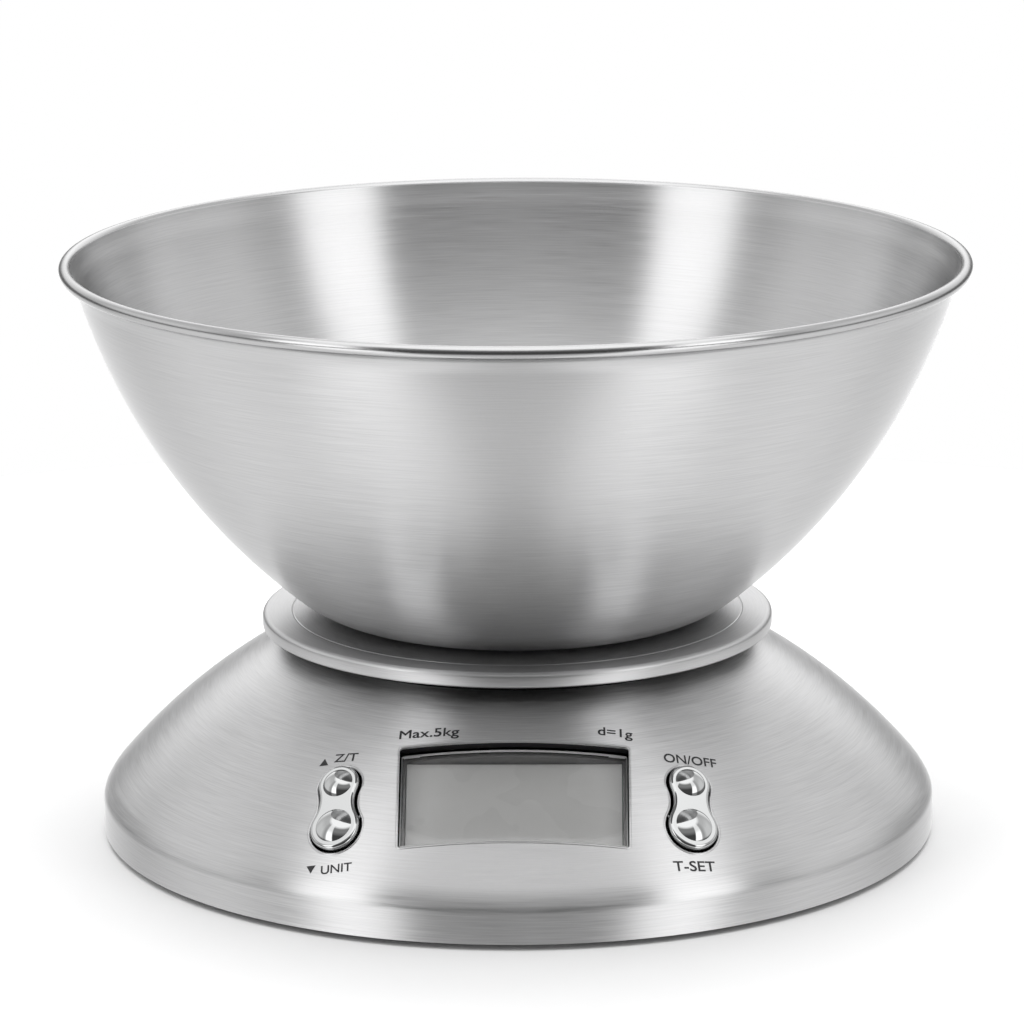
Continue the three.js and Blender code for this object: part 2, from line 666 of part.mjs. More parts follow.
COVER_SCREW.angles.forEach((angle, i) => {
  const [x, y] = polar(COVER_SCREW.ring, angle);
  const geometry = makeScrew(COVER_SCREW.head, 0.9, COVER_SCREW.shank, 10);
  const screw = add(`cover_screw_${i + 1}`, geometry, zincSteel);
  screw.position.set(x, y, COVER.bottom);
});

// ---- Assembly: display and electronics ----------------------------------------------------

add('display_frame', makeDisplayFrame(), blackPlastic, displayGroup);
add('display_window', makeDisplayWindow(), clearPlastic, displayGroup);
add('lcd_glass', plateAt(PANEL.width, PANEL.height, LCD.top, LCD.thick), greyLcd, displayGroup);
add('backlight_panel', plateAt(PANEL.width, PANEL.height, BACKLIGHT_TOP, BACKLIGHT_THICK),
  whitePlastic, displayGroup);
add('main_board', plateAt(BOARD.width, BOARD.height, BOARD_TOP, BOARD.thick), circuitBoard,
  displayGroup);
add('microcontroller', turned([[0, -1.6], [3, -1.4], [5, -0.6], [5.4, 0], [0, 0]], 16), epoxy,
  displayGroup).position.set(-12, 2, BOARD_BACK - GAP);
add('alarm_buzzer', turned([[0, -5], [5.4, -5], [6, -4.4], [6, 0], [0, 0]], 20), blackPlastic,
  displayGroup).position.set(15, 3, BOARD_BACK - GAP);

// ---- Assembly: load cell and platform -----------------------------------------------------

add('load_cell', makeLoadCell(), aluminium);
add('load_cell_base', makePost(-1, POST_BOTTOM, CELL.bottom - GAP), zincSteel);
add('platform_spacer', makePost(1, CELL_TOP + GAP, CARRIER_BOTTOM - 1 - GAP), blackPlastic);
add('platform_carrier', makePlatformCarrier(), blackPlastic);
add('platform_plate', makePlatformPlate(), brushedSteel);

CELL.boltAt.forEach((x, i) => {
  const lower = add(`load_cell_screw_${i + 1}`,
    makeScrew(CELL.boltHead, CELL.headHeight, CELL.bolt, LOWER_BOLT_LENGTH), zincSteel);
  lower.position.set(-x, 0, CELL_HEAD_TOP - CELL.headHeight);
  const upper = add(`platform_screw_${i + 1}`,
    makeScrew(CELL.boltHead, CELL.headHeight, CELL.bolt, UPPER_BOLT_LENGTH), zincSteel);
  upper.position.set(x, 0, PLATFORM_BOLT_HEAD + CELL.headHeight);
  upper.rotation.x = Math.PI;
});

add('bowl', makeBowl(), polishedSteel);

// ---- Assembly: buttons --------------------------------------------------------------------

for (const [side, name] of [[-1, 'left'], [1, 'right']]) {
  const group = groupAt(buttonFrame(side));
  scale.add(group);
  add(`${name}_button`, makeButton(), chrome, group);
  add(`${name}_button_pin`, pinBar(PIN.radius, PIN.length), zincSteel, group);
  add(`${name}_button_frame`, makeKeyFrame(side), blackPlastic, group);
  add(`${name}_key_board`,
    plateAt(KEY_BOARD.width, KEY_BOARD.height, KEY_FRAME.bottom - KEY_BOARD.drop, KEY_BOARD.thick),
    circuitBoard, group);
  for (const [end, place] of [[1, 'upper'], [-1, 'lower']]) {
    const key = add(`${name}_key_switch_${place}`, makeKeySwitch(), epoxy, group);
    key.position.y = end * SWITCH.at;
  }
}

// ---- Assembly: power ----------------------------------------------------------------------

const NEGATIVE_X = -BAY.halfWidth + 0.7;
const BRIDGE_X = BAY.halfWidth - 0.7;
add('battery_1', makeBattery(1), batteryWrap).position.set(1.2, CELL_AA.y[0], CELL_AA.z);
add('battery_2', makeBattery(-1), batteryWrap).position.set(0.4, CELL_AA.y[1], CELL_AA.z);
add('battery_spring_contact', makeContact(4, 4.2, true), zincSteel)
  .position.set(NEGATIVE_X, CELL_AA.y[0], CELL_AA.z);
add('battery_button_contact', makeContact(3, 3.2, true), zincSteel)
  .position.set(NEGATIVE_X, CELL_AA.y[1], CELL_AA.z);
add('battery_bridge_contact', makeBridge(), zincSteel).position.set(BRIDGE_X, 0, CELL_AA.z);
add('battery_door', makeDoor(), blackPlastic);

const TAB_END = NEGATIVE_X - 3.9 - GAP - 0.8;
add('battery_lead_black', makeLead([
  [TAB_END, CELL_AA.y[0], CELL_AA.z], [-37, 32, 11], [-43, 18, 9], [-44, -10, 9],
  [-36, -36, 10], [-22, -52, 14], [-20, -62, 19.5],
]), epoxy);
add('battery_lead_red', makeLead([
  [TAB_END, CELL_AA.y[1], CELL_AA.z], [-39, 46, 11], [-47, 24, 9], [-48, -10, 9],
  [-40, -38, 10], [-26, -54, 14], [-23, -62, 19.5],
]), redWire);
add('load_cell_lead', makeLead([
  [-8, -7.6, 24.3], [-8, -14, 20], [-6, -30, 15], [-2, -48, 14], [0, -62, 19.5],
], 1.0, 14), greyWire);

export default scale;
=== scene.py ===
# %% [markdown]
# # A round kitchen scale and its steel bowl
# The working parts of this scale are already built as a frame. In this lesson each part
# that shows gets its fine shape and its finish: turned steel, chrome, a clear window, printed labels.
# Everything is in metres, with +Z up and the display facing -Y.

# %% Load the frame
import json
import math

import bmesh
import bpy
from mathutils import Matrix, Vector


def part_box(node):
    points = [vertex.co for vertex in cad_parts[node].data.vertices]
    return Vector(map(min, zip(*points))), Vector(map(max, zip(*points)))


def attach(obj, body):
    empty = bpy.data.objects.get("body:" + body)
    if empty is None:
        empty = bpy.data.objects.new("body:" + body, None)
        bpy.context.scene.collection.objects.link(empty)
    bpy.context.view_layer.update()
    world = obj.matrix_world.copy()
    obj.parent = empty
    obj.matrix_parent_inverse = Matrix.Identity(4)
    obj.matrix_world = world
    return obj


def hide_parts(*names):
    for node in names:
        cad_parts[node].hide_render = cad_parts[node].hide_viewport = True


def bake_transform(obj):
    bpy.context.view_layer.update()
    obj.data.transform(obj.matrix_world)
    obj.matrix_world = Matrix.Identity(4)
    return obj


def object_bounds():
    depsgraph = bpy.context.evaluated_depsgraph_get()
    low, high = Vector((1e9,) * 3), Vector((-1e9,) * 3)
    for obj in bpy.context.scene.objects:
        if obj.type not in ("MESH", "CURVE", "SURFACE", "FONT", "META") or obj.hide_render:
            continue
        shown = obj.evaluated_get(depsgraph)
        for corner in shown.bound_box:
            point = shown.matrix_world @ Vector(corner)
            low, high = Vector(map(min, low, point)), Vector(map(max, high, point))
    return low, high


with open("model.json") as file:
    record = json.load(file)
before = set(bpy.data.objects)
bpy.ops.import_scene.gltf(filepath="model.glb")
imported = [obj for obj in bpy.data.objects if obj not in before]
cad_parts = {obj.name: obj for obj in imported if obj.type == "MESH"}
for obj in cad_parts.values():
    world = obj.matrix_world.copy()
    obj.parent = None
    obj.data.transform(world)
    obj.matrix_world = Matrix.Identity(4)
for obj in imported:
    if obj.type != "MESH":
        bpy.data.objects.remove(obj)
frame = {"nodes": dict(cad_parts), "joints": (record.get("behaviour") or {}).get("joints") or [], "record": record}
cad_box = [list(corner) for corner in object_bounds()]
nodes = frame["nodes"]
joints = {joint["name"]: joint for joint in frame["joints"]}
MM = 0.001
cad_size = [round((high - low) / MM, 1) for low, high in zip(*cad_box)]
print("parts in the frame:", len(nodes), "size in mm:", cad_size)

# %% [markdown]
# ## Driving sizes
# A turned part is the same all the way round, so its box in the frame already says how wide and how
# high it is. Only the arcs of each outline have to be stated. They are the ones that the frame was
# built with, so the fine shapes lie on the frame's own.

# %% Sizes of the casing, platform and bowl
casing_low, casing_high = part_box("outer_shell")
plate_low, plate_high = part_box("platform_plate")
bowl_low, bowl_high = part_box("bowl")

CASING_RADIUS = casing_high.x
SKIRT_TOP = casing_low.z + 7.0 * MM
TIGHT_RADIUS, TIGHT_TURN = 4.0 * MM, math.radians(25.0)
SOFT_RADIUS, SHOULDER_TURN = 17.35 * MM, math.radians(40.4)
CONE_RADIUS = 141.8 * MM
OPENING_RADIUS = 55.0 * MM
STEEL = 0.7 * MM
print("casing radius", round(CASING_RADIUS / MM, 1), "bowl rim radius", round(bowl_high.x / MM, 1))

# %% [markdown]
# ## Turning a shape
# A lathe part is easiest to make with one spin. The outline is a row of points on one side of the
# axis, the spin carries it round, and the points that meet on the axis or at the end are merged. An
# outline made of arcs keeps its curvature even, and that matters on metal, because every reflection
# shows a kink.

# %% Arcs, spins and pieces
SPIN_STEPS = 192


def arc(centre, radius, start, end, steps):
    """Points of an arc in the (radius, height) plane."""
    points = []
    for i in range(steps + 1):
        a = start + (end - start) * i / steps
        points.append((centre[0] + radius * math.cos(a), centre[1] + radius * math.sin(a)))
    return points


def spin(outline, steps=SPIN_STEPS, closed=False):
    """A bmesh of an outline turned once round the Z axis."""
    bm = bmesh.new()
    verts = [bm.verts.new((r, 0, z)) for r, z in outline]
    edges = [bm.edges.new(pair) for pair in zip(verts, verts[1:])]
    if closed:
        edges.append(bm.edges.new((verts[-1], verts[0])))
    bmesh.ops.spin(bm, geom=verts + edges, axis=(0, 0, 1), cent=(0, 0, 0), dvec=(0, 0, 0),
                   angle=math.tau, steps=steps, use_merge=True, use_duplicate=False)
    bmesh.ops.remove_doubles(bm, verts=bm.verts, dist=1e-6)
    bmesh.ops.recalc_face_normals(bm, faces=bm.faces)
    return bm


def piece(name, bm, sharp=35):
    """Turns a bmesh into an object with smooth faces and sharp edges above an angle."""
    mesh = bpy.data.meshes.new(name)
    bm.to_mesh(mesh)
    bm.free()
    mesh.shade_smooth()
    mesh.set_sharp_from_angle(angle=math.radians(sharp))
    obj = bpy.data.objects.new(name, mesh)
    bpy.context.scene.collection.objects.link(obj)
    print(f"{name}: {len(mesh.vertices)} points, {len(mesh.polygons)} faces")
    return obj


def dress(obj, material, body, slot, *replaced):
    """Gives a piece its finish, the body that it rides on and the parts it stands for."""
    obj.data.materials.clear()
    obj.data.materials.append(material)
    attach(obj, body)
    if replaced:
        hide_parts(*replaced)


# %% [markdown]
# ## Brushed steel
# The casing, the platform and the bowl are brushed as they spin, so their fine scratches run round
# the axis. Two things make that look. The shader's anisotropy stretches each highlight across the
# scratches, which draws the bright bands from rim to foot. A noise that is long round the axis and
# very short along the outline draws the scratches themselves. It reads the direction round the axis
# as a unit vector, so it has no seam.

# %% Node helpers
def new_material(name):
    material = bpy.data.materials.new(name)
    material.use_nodes = True
    tree = material.node_tree
    return material, tree, tree.nodes["Principled BSDF"]


def add_node(tree, kind, **settings):
    node = tree.nodes.new(kind)
    for key, value in settings.items():
        setattr(node, key, value)
    return node


def vector_math(tree, operation, first, second=None):
    """A Vector Math node. Each input is a socket to link or a value to set."""
    node = add_node(tree, "ShaderNodeVectorMath", operation=operation)
    for socket, value in zip(node.inputs, (first, second)):
        if isinstance(value, bpy.types.NodeSocket):
            tree.links.new(value, socket)
        elif value is not None:
            socket.default_value = value
    return node.outputs["Value" if operation in ("LENGTH", "DOT_PRODUCT") else "Vector"]


def number_range(tree, value, low, high, source=(0.0, 1.0)):
    """Maps a value from one range to another, clamped."""
    node = add_node(tree, "ShaderNodeMapRange")
    tree.links.new(value, node.inputs["Value"])
    for key, number in zip(("From Min", "From Max", "To Min", "To Max"), (*source, low, high)):
        node.inputs[key].default_value = number
    return node.outputs["Result"]


def noise(tree, vector, scale, detail=2.0, roughness=0.5):
    node = add_node(tree, "ShaderNodeTexNoise")
    tree.links.new(vector, node.inputs["Vector"])
    node.inputs["Scale"].default_value = scale
    node.inputs["Detail"].default_value = detail
    node.inputs["Roughness"].default_value = roughness
    return node.outputs["Fac"]


def add_bump(tree, shader, height, strength, distance):
    bump = add_node(tree, "ShaderNodeBump")
    bump.inputs["Strength"].default_value = strength
    bump.inputs["Distance"].default_value = distance
    tree.links.new(height, bump.inputs["Height"])
    tree.links.new(bump.outputs["Normal"], shader.inputs["Normal"])


# %% Steel brushed round the Z axis
NOISE_MIDDLE = (0.3, 0.7)  # where nearly all of a noise's values lie
FINE_WIDTH, BROAD_WIDTH = 0.22 * MM, 0.8 * MM
BROAD_SHARE = 0.25
ROUGH_SPREAD, DARKER, LIGHTER = 0.06, 0.16, 0.10  # the most that a scratch changes the finish


def round_brushed(name, grey, rough, along, lines=1.0, stretch=0.92):
    """Steel whose outline runs in the direction `along`, given as (radius, height)."""
    material, tree, shader = new_material(name)
    place = add_node(tree, "ShaderNodeTexCoord").outputs["Object"]
    flat = vector_math(tree, "MULTIPLY", place, (1, 1, 0))
    facing = vector_math(tree, "NORMALIZE", flat)
    radius = vector_math(tree, "LENGTH", flat)
    height = vector_math(tree, "DOT_PRODUCT", place, (0, 0, 1))
    both = add_node(tree, "ShaderNodeCombineXYZ")
    tree.links.new(radius, both.inputs["X"])
    tree.links.new(height, both.inputs["Y"])
    travel = vector_math(tree, "DOT_PRODUCT", both.outputs["Vector"], (*along, 0))
    track = add_node(tree, "ShaderNodeCombineXYZ")
    tree.links.new(travel, track.inputs["Z"])

    def scratches(turns, width, detail):
        """Noise that is `width` metres wide along the outline and 1 / turns radians long."""
        round_axis = vector_math(tree, "MULTIPLY", facing, (turns, turns, 0))
        across = vector_math(tree, "MULTIPLY", track.outputs["Vector"], (0, 0, 1 / width))
        return noise(tree, vector_math(tree, "ADD", round_axis, across), 1.0, detail, 0.6)

    fine = scratches(7.0, FINE_WIDTH, 2.0)
    broad = scratches(3.0, BROAD_WIDTH, 1.0)
    mix = add_node(tree, "ShaderNodeMix", data_type="FLOAT")
    mix.inputs["Factor"].default_value = BROAD_SHARE
    tree.links.new(fine, mix.inputs["A"])
    tree.links.new(broad, mix.inputs["B"])
    lined = mix.outputs["Result"]
    smooth, coarse = rough - ROUGH_SPREAD * lines, rough + ROUGH_SPREAD * lines
    tree.links.new(number_range(tree, lined, smooth, coarse, NOISE_MIDDLE),
                   shader.inputs["Roughness"])
    ramp = add_node(tree, "ShaderNodeValToRGB")
    tones = (grey * (1 - DARKER * lines), grey * (1 + LIGHTER * lines))
    for stop, at, tone in zip(ramp.color_ramp.elements, NOISE_MIDDLE, tones):
        stop.position = at
        stop.color = (tone, tone, tone * 1.005, 1)  # a trace bluer than grey
    tree.links.new(lined, ramp.inputs["Fac"])
    tree.links.new(ramp.outputs["Color"], shader.inputs["Base Color"])
    shader.inputs["Metallic"].default_value = 1.0
    shader.inputs["Specular Tint"].default_value = (0.6, 0.6, 0.6, 1)  # duller at a grazing angle
    shader.inputs["Anisotropic"].default_value = stretch
    shader.inputs["Anisotropic Rotation"].default_value = 0.25
    tangent = add_node(tree, "ShaderNodeTangent", direction_type="RADIAL", axis="Z")
    tree.links.new(tangent.outputs["Tangent"], shader.inputs["Tangent"])
    add_bump(tree, shader, lined, 0.08 * lines, 0.01 * MM)
    return material


casing_steel = round_brushed("casing_steel", 0.70, 0.34, (-0.7, 0.7), 0.9)
bowl_steel = round_brushed("bowl_steel", 0.68, 0.32, (0.6, 0.8), 0.7)
plate_steel = round_brushed("platform_steel", 0.67, 0.40, (1.0, -1.0), 0.6, 0.3)
# The rim's steel is smoother than the bowl's, a real polish, and painted a darker grey: painted shade that deepens
# the dark lines round the rim.
rim_steel_painted_darker = round_brushed("rim_steel_painted_darker", 0.56, 0.22, (0.6, 0.8), 0.3, 0.5)
print("steel finishes:", casing_steel.name, bowl_steel.name, plate_steel.name)

# %% [markdown]
# ## The casing's outline
# One pressed sheet: a straight skirt, a tight shoulder, a softer one, and a long shallow dome up to
# the round opening under the platform. Each arc starts where the last one ends and in the same
# direction, so the next centre lies on the line through the last centre and the joint.

# %% Casing outline and its surface
def next_centre(centre, radius, next_radius, turn):
    step = radius - next_radius
    return (centre[0] + step * math.cos(turn), centre[1] + step * math.sin(turn))


tight_centre = (CASING_RADIUS - TIGHT_RADIUS, SKIRT_TOP)
soft_centre = next_centre(tight_centre, TIGHT_RADIUS, SOFT_RADIUS, TIGHT_TURN)
cone_centre = next_centre(soft_centre, SOFT_RADIUS, CONE_RADIUS, SHOULDER_TURN)


def casing_line(depth, steps):
    """The casing's outline moved in by `depth`, from its lower edge to the opening."""
    cone = CONE_RADIUS - depth
    end = math.acos((OPENING_RADIUS - cone_centre[0]) / cone)
    return [
        (CASING_RADIUS - depth, casing_low.z),
        (CASING_RADIUS - depth, casing_low.z + (SKIRT_TOP - casing_low.z) / 2),
        *arc(tight_centre, TIGHT_RADIUS - depth, 0, TIGHT_TURN, steps),
        *arc(soft_centre, SOFT_RADIUS - depth, TIGHT_TURN, SHOULDER_TURN, steps)[1:],
        *arc(cone_centre, cone, SHOULDER_TURN, end, steps * 5)[1:],
    ]


def casing_normal(point):
    """Outward direction of the casing's dome above or below a point."""
    radius = math.hypot(point.x, point.y)
    out, up = radius - cone_centre[0], point.z - cone_centre[1]
    level = out / radius
    return Vector((point.x * level, point.y * level, up)).normalized()


def casing_height(point):
    """How far a point is outside the dome, measured squarely to it."""
    radius = math.hypot(point.x, point.y)
    return math.hypot(radius - cone_centre[0], point.z - cone_centre[1]) - CONE_RADIUS


def onto_casing(point, normal, lift=0.0):
    """Slides a point along `normal` until it is `lift` outside the dome."""
    for _ in range(6):
        point = point - normal * (casing_height(point) - lift)
    return point


# %% [markdown]
# ## Places on the dome
# The window, the buttons and the labels each lie in a small frame of their own: X across, Y up the
# slope, Z out of the steel. A button's frame follows from its hinge, because the pin lies straight
# under the middle of the button. The window's follows from its liquid crystal panel.

# %% Local frames
def local_frame(origin, normal, across):
    normal = normal.normalized()
    up = normal.cross(across).normalized()
    basis = Matrix((up.cross(normal), up, normal)).transposed().to_4x4()
    return Matrix.Translation(origin) @ basis


button_frames = {}
for side in ("left", "right"):
    hinge = joints[f"{side}_button_rock"]
    pin = Vector(hinge["pos_m"])
    normal = casing_normal(pin)
    button_frames[side] = local_frame(onto_casing(pin, normal), normal, Vector(hinge["axis"]))

WINDOW_TILT = math.radians(39.3)
WINDOW_WIDTH, WINDOW_HEIGHT = 52.4 * MM, 27.2 * MM
LCD_MIDDLE_DEPTH = 5.8 * MM  # from the plane through the opening's corners to the panel's middle
window_normal = Vector((0, -math.sin(WINDOW_TILT), math.cos(WINDOW_TILT)))
lcd_low, lcd_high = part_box("lcd_glass")
window_frame = local_frame((lcd_low + lcd_high) / 2 + window_normal * LCD_MIDDLE_DEPTH,
                           window_normal, Vector((1, 0, 0)))
print("window centre in mm:", [round(x / MM, 1) for x in window_frame.translation])


# %% [markdown]
# ## Outlines of the openings
# A button is two round lobes with hollow flanks between them. The flank arcs touch both lobes, so
# their centres are where two circles cross. The window is a rectangle with small round corners.

# %% Button and window outlines
LOBES = {"upper": (6.2 * MM, 4.9 * MM), "lower": (-5.2 * MM, 5.9 * MM)}
FLANK = 9.33 * MM


def button_outline(grow=0.0, steps=12):
    (upper_y, upper_r), (lower_y, lower_r) = LOBES.values()
    upper_r, lower_r, flank = upper_r + grow, lower_r + grow, FLANK - grow
    apart = upper_y - lower_y
    low_reach, high_reach = lower_r + flank, upper_r + flank
    rise = (low_reach**2 - high_reach**2 + apart**2) / (2 * apart)
    x, y = math.sqrt(low_reach**2 - rise**2), lower_y + rise
    to_upper, to_lower = math.atan2(upper_y - y, x), math.atan2(lower_y - y, x)
    return [
        *arc((0, upper_y), upper_r, -to_upper, math.pi + to_upper, steps * 2),
        *arc((-x, y), flank, to_upper, to_lower, steps)[1:],
        *arc((0, lower_y), lower_r, math.pi + to_lower, math.tau - to_lower, steps * 2)[1:],
        *arc((x, y), flank, math.pi - to_lower, math.pi - to_upper, steps)[1:-1],
    ]


def round_rectangle(width, height, radius, steps=5, side_steps=1):
    x, y = width / 2 - radius, height / 2 - radius
    corners = [(x, y, 0), (-x, y, 1), (-x, -y, 2), (x, -y, 3)]
    points = []
    for cx, cy, quarter in corners:
        start = quarter * math.pi / 2
        turn = arc((cx, cy), radius, start, start + math.pi / 2, steps)
        if points:
            points += between(points[-1], turn[0], side_steps)
        points += turn
    return points + between(points[-1], points[0], side_steps)


def between(first, last, steps):
    """The points inside a straight stretch cut into `steps` parts."""
    return [tuple(a + (b - a) * i / steps for a, b in zip(first, last)) for i in range(1, steps)]


# %% [markdown]
# ## The casing
# The two skins of the sheet are one closed outline, spun once. The openings are cut with Boolean
# modifiers, because the cutters are then plain extruded outlines, the same as the press tool that
# makes the real holes. The modifiers are applied at once, so that the piece is one clean mesh.

# %% Cutters and the casing
def prism(outline, low, high, place):
    """An extruded outline, stood in a local frame."""
    bm = bmesh.new()
    face = bm.faces.new([bm.verts.new((x, y, low)) for x, y in outline])
    top = bmesh.ops.extrude_face_region(bm, geom=[face])
    moved = [v for v in top["geom"] if isinstance(v, bmesh.types.BMVert)]
    bmesh.ops.translate(bm, verts=moved, vec=(0, 0, high - low))
    bmesh.ops.recalc_face_normals(bm, faces=bm.faces)
    bmesh.ops.transform(bm, matrix=place, verts=bm.verts)
    return bm


def boolean(obj, operation, *tools, sharp=35):
    """Cuts or joins other pieces with a piece, applies the result and removes the tools."""
    for tool in tools:
        modifier = obj.modifiers.new(tool.name, "BOOLEAN")
        modifier.operation = operation
        modifier.solver = "EXACT"
        modifier.object = tool
    apply_modifiers(obj)
    for tool in tools:
        bpy.data.objects.remove(tool)
    obj.data.shade_smooth()
    obj.data.set_sharp_from_angle(angle=math.radians(sharp))


def apply_modifiers(obj):
    bpy.context.view_layer.update()
    graph = bpy.context.evaluated_depsgraph_get()
    made = bpy.data.meshes.new_from_object(obj.evaluated_get(graph))
    obj.modifiers.clear()
    obj.data = made


BUTTON_GAP = 0.5 * MM
WINDOW_CORNER = 0.8 * MM
WINDOW_CUT, BUTTON_CUT = (-14 * MM, 8 * MM), (-6 * MM, 5 * MM)  # how far each cutter reaches
casing = piece("casing", spin(casing_line(0, 8) + casing_line(STEEL, 4)[::-1], closed=True))
window_hole = round_rectangle(WINDOW_WIDTH, WINDOW_HEIGHT, WINDOW_CORNER)
cutters = [piece("window_cutter", prism(window_hole, *WINDOW_CUT, window_frame))]
for side, place in button_frames.items():
    cutter = prism(button_outline(BUTTON_GAP), *BUTTON_CUT, place)
    cutters.append(piece(f"{side}_cutter", cutter))
boolean(casing, "DIFFERENCE", *cutters)
dress(casing, casing_steel, "base", "casing_steel", "outer_shell")
print("casing faces after cutting:", len(casing.data.polygons))

# %% [markdown]
# ## Edges of the openings
# A pressed hole never has a knife edge: the sheet rolls over a little, and that small round catches
# a thin line of light. A slim bead laid along each opening gives that line. It is swept with a curve
# whose bevel is the bead's radius, on points slid onto the dome. The bead sits back inside the sheet,
# so that only its round shows and the gap that a button rocks in stays open.

# %% Rolled edges
def bead(name, loop, radius, sides=3):
    """A closed round bead through the points of `loop`."""
    curve = bpy.data.curves.new(name, "CURVE")
    curve.dimensions = "3D"
    curve.bevel_depth = radius
    curve.bevel_resolution = sides
    spline = curve.splines.new("POLY")
    spline.points.add(len(loop) - 1)
    for point, place in zip(spline.points, loop):
        point.co = (*place, 1)
    spline.use_cyclic_u = True
    source = bpy.data.objects.new(name + "_path", curve)
    bpy.context.scene.collection.objects.link(source)
    graph = bpy.context.evaluated_depsgraph_get()
    mesh = bpy.data.meshes.new_from_object(source.evaluated_get(graph))
    bpy.data.objects.remove(source)
    bm = bmesh.new()
    bm.from_mesh(mesh)
    bmesh.ops.remove_doubles(bm, verts=bm.verts, dist=1e-7)
    bmesh.ops.recalc_face_normals(bm, faces=bm.faces)
    return piece(name, bm, 60)


def loop_on_casing(outline, place, depth):
    normal = place.to_3x3().col[2]
    return [onto_casing(place @ Vector((x, y, 0)), normal, -depth) for x, y in outline]


EDGE = 0.35 * MM
SET_BACK = EDGE * 0.68  # the bead just covers the sheet's corner
window_loop = round_rectangle(WINDOW_WIDTH + 2 * SET_BACK, WINDOW_HEIGHT + 2 * SET_BACK,
                              WINDOW_CORNER + SET_BACK, 5, 24)
edge = bead("window_edge", loop_on_casing(window_loop, window_frame, SET_BACK), EDGE)
dress(edge, casing_steel, "base", "casing_steel")
for side, place in button_frames.items():
    loop = loop_on_casing(button_outline(BUTTON_GAP + SET_BACK), place, SET_BACK)
    dress(bead(f"{side}_button_edge", loop, EDGE), casing_steel, "base", "casing_steel")

# %% [markdown]
# ## The platform
# A shallow steel cap, pressed over a black carrier. Its edge is rolled over, and a single fine line
# is turned into its top near the rim. The line is modelled, because it has to catch the light at
# every angle.

# %% Platform plate
PLATE_RADIUS, PLATE_TOP = plate_high.x, plate_high.z
PLATE_SKIN = 0.8 * MM
PLATE_ROUND, PLATE_FOOT_ROUND = 1.2 * MM, 0.5 * MM
GROOVE_AT, GROOVE_WIDTH, GROOVE_DEPTH = 54.1 * MM, 0.25 * MM, 0.12 * MM
INSIDE_RADIUS = 60.4 * MM
plate_outline = [
    (0, PLATE_TOP),
    *[(GROOVE_AT * share, PLATE_TOP) for share in (0.3, 0.6, 0.9)],
    (GROOVE_AT - GROOVE_WIDTH, PLATE_TOP),
    (GROOVE_AT, PLATE_TOP - GROOVE_DEPTH),
    (GROOVE_AT + GROOVE_WIDTH, PLATE_TOP),
    *arc((PLATE_RADIUS - PLATE_ROUND, PLATE_TOP - PLATE_ROUND), PLATE_ROUND, math.pi / 2, 0, 8),
    *arc((PLATE_RADIUS - PLATE_FOOT_ROUND, plate_low.z + PLATE_FOOT_ROUND), PLATE_FOOT_ROUND,
         0, -math.pi / 2, 5),
    (INSIDE_RADIUS, plate_low.z),
    (INSIDE_RADIUS, PLATE_TOP - PLATE_SKIN),
    (0, PLATE_TOP - PLATE_SKIN),
]
dress(piece("platform_top", spin(plate_outline), 20), plate_steel, "platform", "platform_steel",
      "platform_plate")

# %% [markdown]
# ## The bowl
# A flat bottom, a rounded corner and one long arc for the wall. At the top the sheet opens outwards
# into a lip, which is rolled under into a hollow bead. The bead's round gives the thin bright and dark
# lines round the rim, and its steel is painted a darker grey, a painted shade that deepens the dark.

# %% Bowl
BOWL_BASE, RIM_RADIUS, RIM_TOP = bowl_low.z, bowl_high.x, bowl_high.z
FLAT_RADIUS = 38.25 * MM
CORNER_RADIUS, CORNER_TURN = 24.8 * MM, math.radians(39.0)
WALL_RADIUS, WALL_TOP = 152.3 * MM, 104.3 * MM
BOWL_SHEET = 0.7 * MM
BEAD_RADIUS = 1.5 * MM


def bowl_line(depth, steps):
    """The bowl's wall moved in by `depth`, from the flat bottom's edge to the foot of the rim."""
    corner = (FLAT_RADIUS, BOWL_BASE + CORNER_RADIUS)
    shift = WALL_RADIUS - CORNER_RADIUS
    wall = (corner[0] - shift * math.sin(CORNER_TURN), corner[1] + shift * math.cos(CORNER_TURN))
    start = CORNER_TURN - math.pi / 2
    end = -math.acos((WALL_TOP - wall[0]) / WALL_RADIUS)
    return [
        *arc(corner, CORNER_RADIUS - depth, -math.pi / 2, start, steps),
        *arc(wall, WALL_RADIUS - depth, start, end, steps * 3)[1:],
    ]


bead_centre = (RIM_RADIUS - BEAD_RADIUS, RIM_TOP - BEAD_RADIUS)
bowl_outline = [
    (0, BOWL_BASE), (FLAT_RADIUS * 0.5, BOWL_BASE),
    *bowl_line(0, 10),
    *arc(bead_centre, BEAD_RADIUS, -math.pi * 0.6, math.pi, 20),
    *bowl_line(BOWL_SHEET, 10)[::-1],
    (FLAT_RADIUS * 0.5, BOWL_BASE + BOWL_SHEET), (0, BOWL_BASE + BOWL_SHEET),
]
bowl = piece("mixing_bowl", spin(bowl_outline), 50)
dress(bowl, bowl_steel, "bowl", "bowl_steel", "bowl")
# The bead gets the smoother steel, painted darker as shade.
bowl.data.materials.append(rim_steel_painted_darker)
for face in bowl.data.polygons:
    from_axis = math.hypot(face.center.x, face.center.y)
    if math.dist((from_axis, face.center.z), bead_centre) < BEAD_RADIUS:
        face.material_index = 1

# %% [markdown]
# ## Chrome, plastic, rubber and the rest
# Chrome is a mirror, so its look comes from what it reflects, and only a faint waviness is added.
# The black mouldings have the fine spark texture that hides sink marks. Their numbers that are the
# same all over are set on the shader itself.

# %% Plain finishes
CLOUDS_PER_METRE = 60.0
GRAIN_HEIGHT = 0.05 * MM


